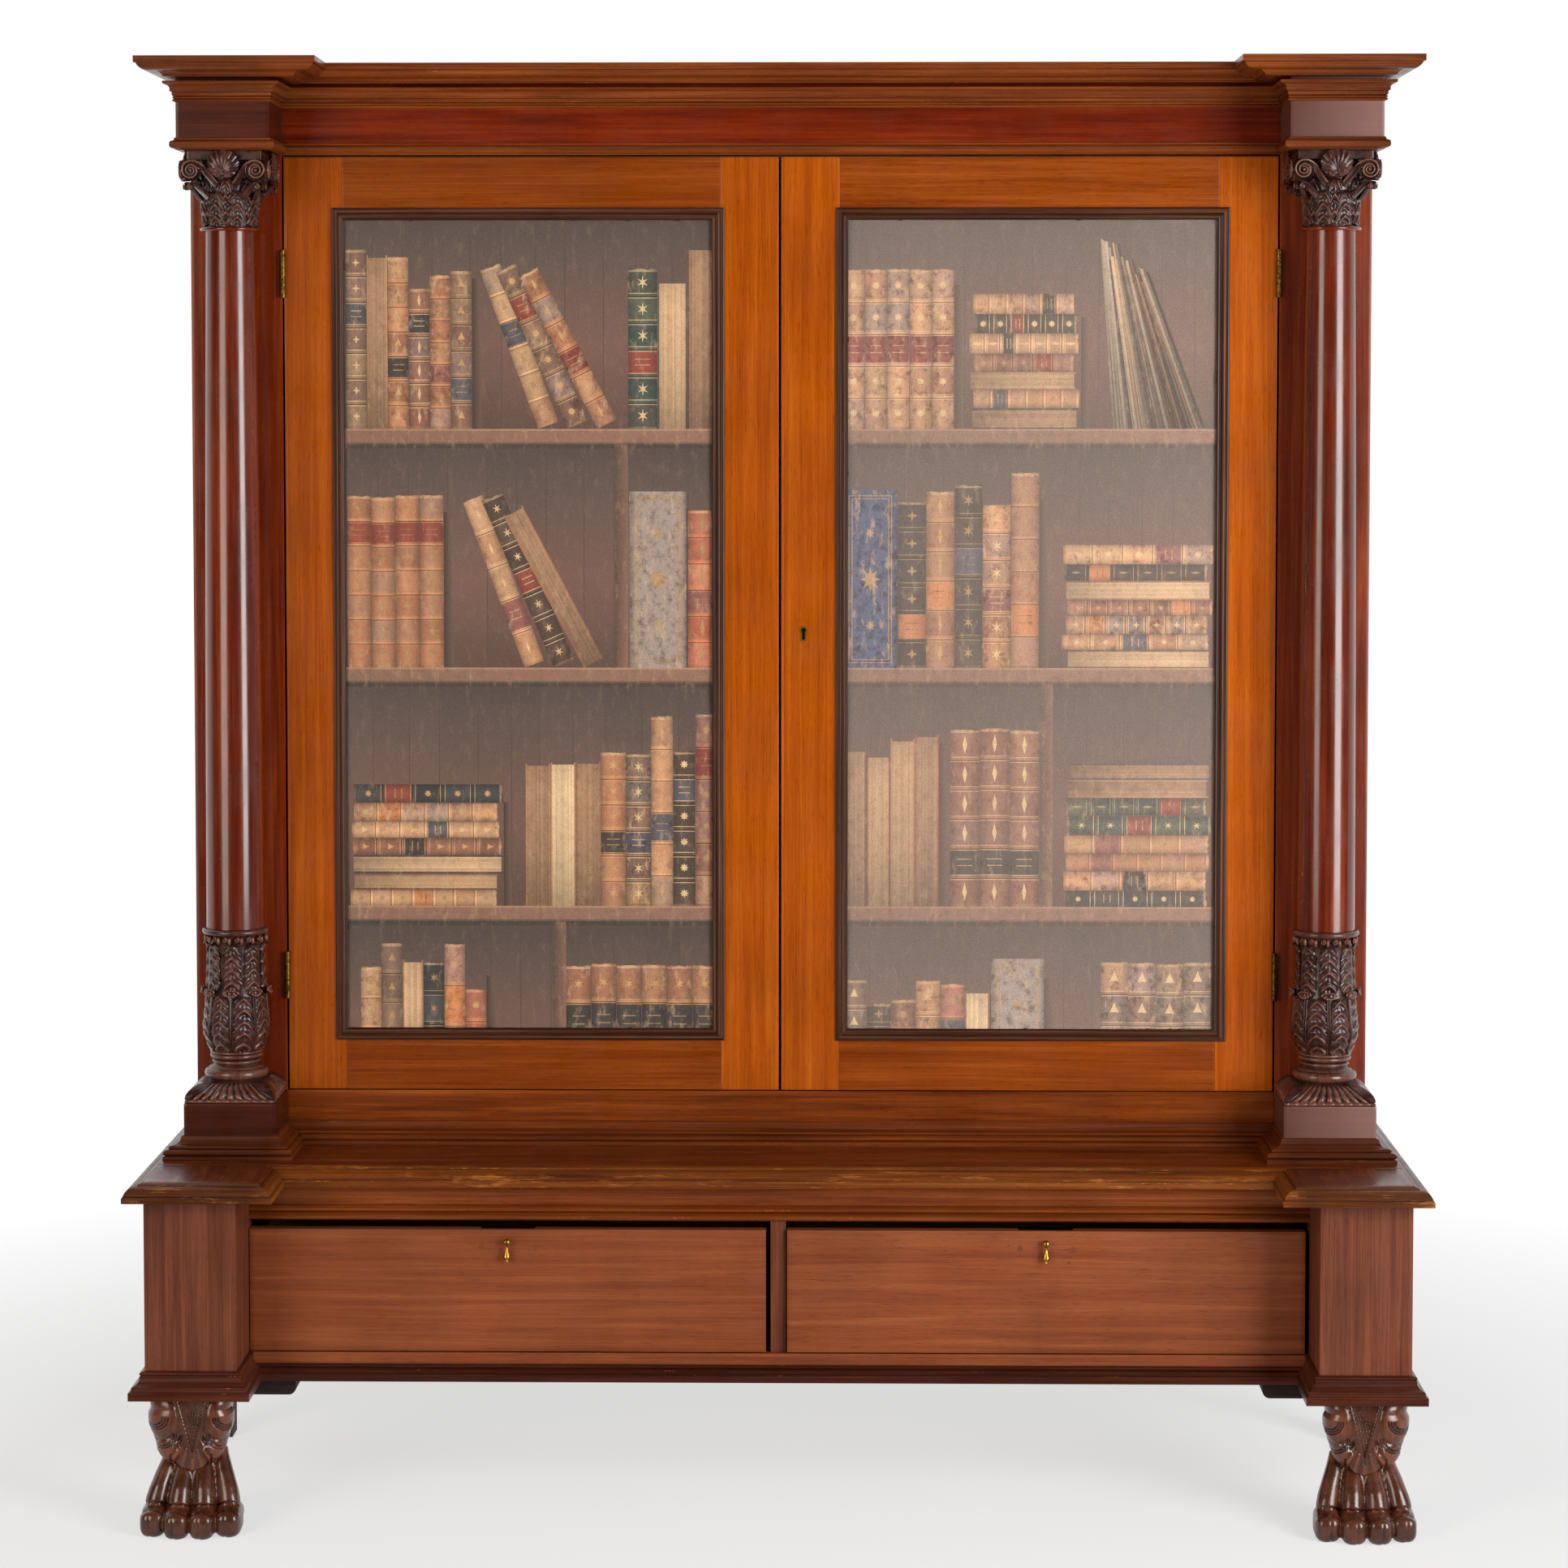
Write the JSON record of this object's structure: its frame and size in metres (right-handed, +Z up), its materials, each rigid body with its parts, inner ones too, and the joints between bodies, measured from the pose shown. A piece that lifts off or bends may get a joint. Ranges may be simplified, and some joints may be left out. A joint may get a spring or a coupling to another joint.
{
  "type": "break-front bookcase",
  "caption": "Tall break-front bookcase: glazed doors between carved corner columns, over a stepped base with shallow drawers, standing on lion-paw feet.",
  "frame": {"origin": "on the floor, under the middle of the bookcase's overall width and depth", "axes": "+Z up, the front with doors and drawers faces -Y, +X is to the right of a person who faces the front; metres"},
  "size_m": [2.058, 0.64, 2.3415],
  "materials": {
    "case_wood": "deep red-brown French-polished mahogany",
    "pilaster_wood": "red-brown polished mahogany, plain",
    "door_wood": "golden-brown flame-figured polished mahogany",
    "drawer_wood": "worn satin red-brown mahogany",
    "pedestal_wood": "worn dull brown mahogany",
    "carved_wood": "very dark, nearly black carved wood, satin",
    "shaft_wood": "dark red-brown glossy turned mahogany",
    "moulding_wood": "dark moulded mahogany, polished",
    "ledge_wood": "dark mahogany worn golden along its edges",
    "glazing_wood": "dark brown moulding with paler streaks",
    "inner_wood": "plain matt brown softwood",
    "board_print": null,
    "glass": "clear flat glass",
    "brass": "aged polished brass",
    "iron": "dull steel"
  },
  "bodies": {
    "case": {"paw_feet": "carved_wood", "rear_feet": "inner_wood", "foot_blocks": "inner_wood", "pedestals": "pedestal_wood", "base_moulding": "moulding_wood", "lower_sides": "pedestal_wood", "lower_back": "inner_wood", "lower_floor": "inner_wood", "base_rail": "drawer_wood", "drawer_divider": "drawer_wood", "drawer_runners": "inner_wood", "ledge_frieze": "moulding_wood", "ledge_board": "ledge_wood", "ledge_edge": "ledge_wood", "plinth_moulding": "moulding_wood", "column_plinths": "pilaster_wood", "column_cushions": "carved_wood", "carved_drums": "carved_wood", "column_shafts": "shaft_wood", "capitals": "carved_wood", "corner_pilasters": "pilaster_wood", "sill_rail": "pilaster_wood", "upper_sides": "pilaster_wood", "upper_floor": "inner_wood", "upper_ceiling": "inner_wood", "upper_back": "inner_wood", "upper_partition": "inner_wood", "shelves": "inner_wood", "shelf_pegs": "inner_wood", "entablature_blocks": "case_wood", "frieze_board": "case_wood", "architrave_moulding": "moulding_wood", "bed_moulding": "moulding_wood", "crown_moulding": "case_wood", "crown_board": "case_wood", "case_hinges": "brass"},
    "left_door": {"left_door_frame": "door_wood", "left_glazing_moulding": "glazing_wood", "left_glass": "glass", "left_panel": "board_print", "left_hinge_leaves": "brass", "left_bolt_barrels": "iron"},
    "right_door": {"right_door_frame": "door_wood", "right_glazing_moulding": "glazing_wood", "right_glass": "glass", "right_panel": "board_print", "right_hinge_leaves": "brass", "door_lock": "iron", "keyhole_thread": "brass"},
    "top_bolt": {"top_bolt": "iron"},
    "bottom_bolt": {"bottom_bolt": "iron"},
    "lock_bolt": {"lock_bolt": "iron"},
    "left_drawer": {"left_drawer_front": "drawer_wood", "left_drawer_box": "inner_wood", "left_pull_post": "brass"},
    "right_drawer": {"right_drawer_front": "drawer_wood", "right_drawer_box": "inner_wood", "right_pull_post": "brass"},
    "left_drop": {"left_drop": "brass"},
    "right_drop": {"right_drop": "brass"}
  },
  "joints": [
    {"name": "left_door_swing", "type": "hinge", "parent": "case", "child": "left_door", "pos_m": [-0.8172, 0.0402, 1.4], "axis": [0, 0, -1], "range_deg": [0, 90]},
    {"name": "right_door_swing", "type": "hinge", "parent": "case", "child": "right_door", "pos_m": [0.8172, 0.0402, 1.4], "axis": [0, 0, 1], "range_deg": [0, 90]},
    {"name": "left_drawer_slide", "type": "slide", "parent": "case", "child": "left_drawer", "axis": [0, -1, 0], "range_m": [0, 0.33]},
    {"name": "right_drawer_slide", "type": "slide", "parent": "case", "child": "right_drawer", "axis": [0, -1, 0], "range_m": [0, 0.33]},
    {"name": "left_drop_swing", "type": "hinge", "parent": "left_drawer", "child": "left_drop", "pos_m": [-0.4368, -0.158, 0.441], "axis": [-1, 0, 0], "range_deg": [0, 90]},
    {"name": "right_drop_swing", "type": "hinge", "parent": "right_drawer", "child": "right_drop", "pos_m": [0.4311, -0.158, 0.441], "axis": [-1, 0, 0], "range_deg": [0, 90]},
    {"name": "lock_bolt_slide", "type": "slide", "parent": "right_door", "child": "lock_bolt", "axis": [-1, 0, 0], "range_m": [0, 0.008]},
    {"name": "top_bolt_slide", "type": "slide", "parent": "left_door", "child": "top_bolt", "axis": [0, 0, 1], "range_m": [0, 0.012]},
    {"name": "bottom_bolt_slide", "type": "slide", "parent": "left_door", "child": "bottom_bolt", "axis": [0, 0, -1], "range_m": [0, 0.012]}
  ]
}
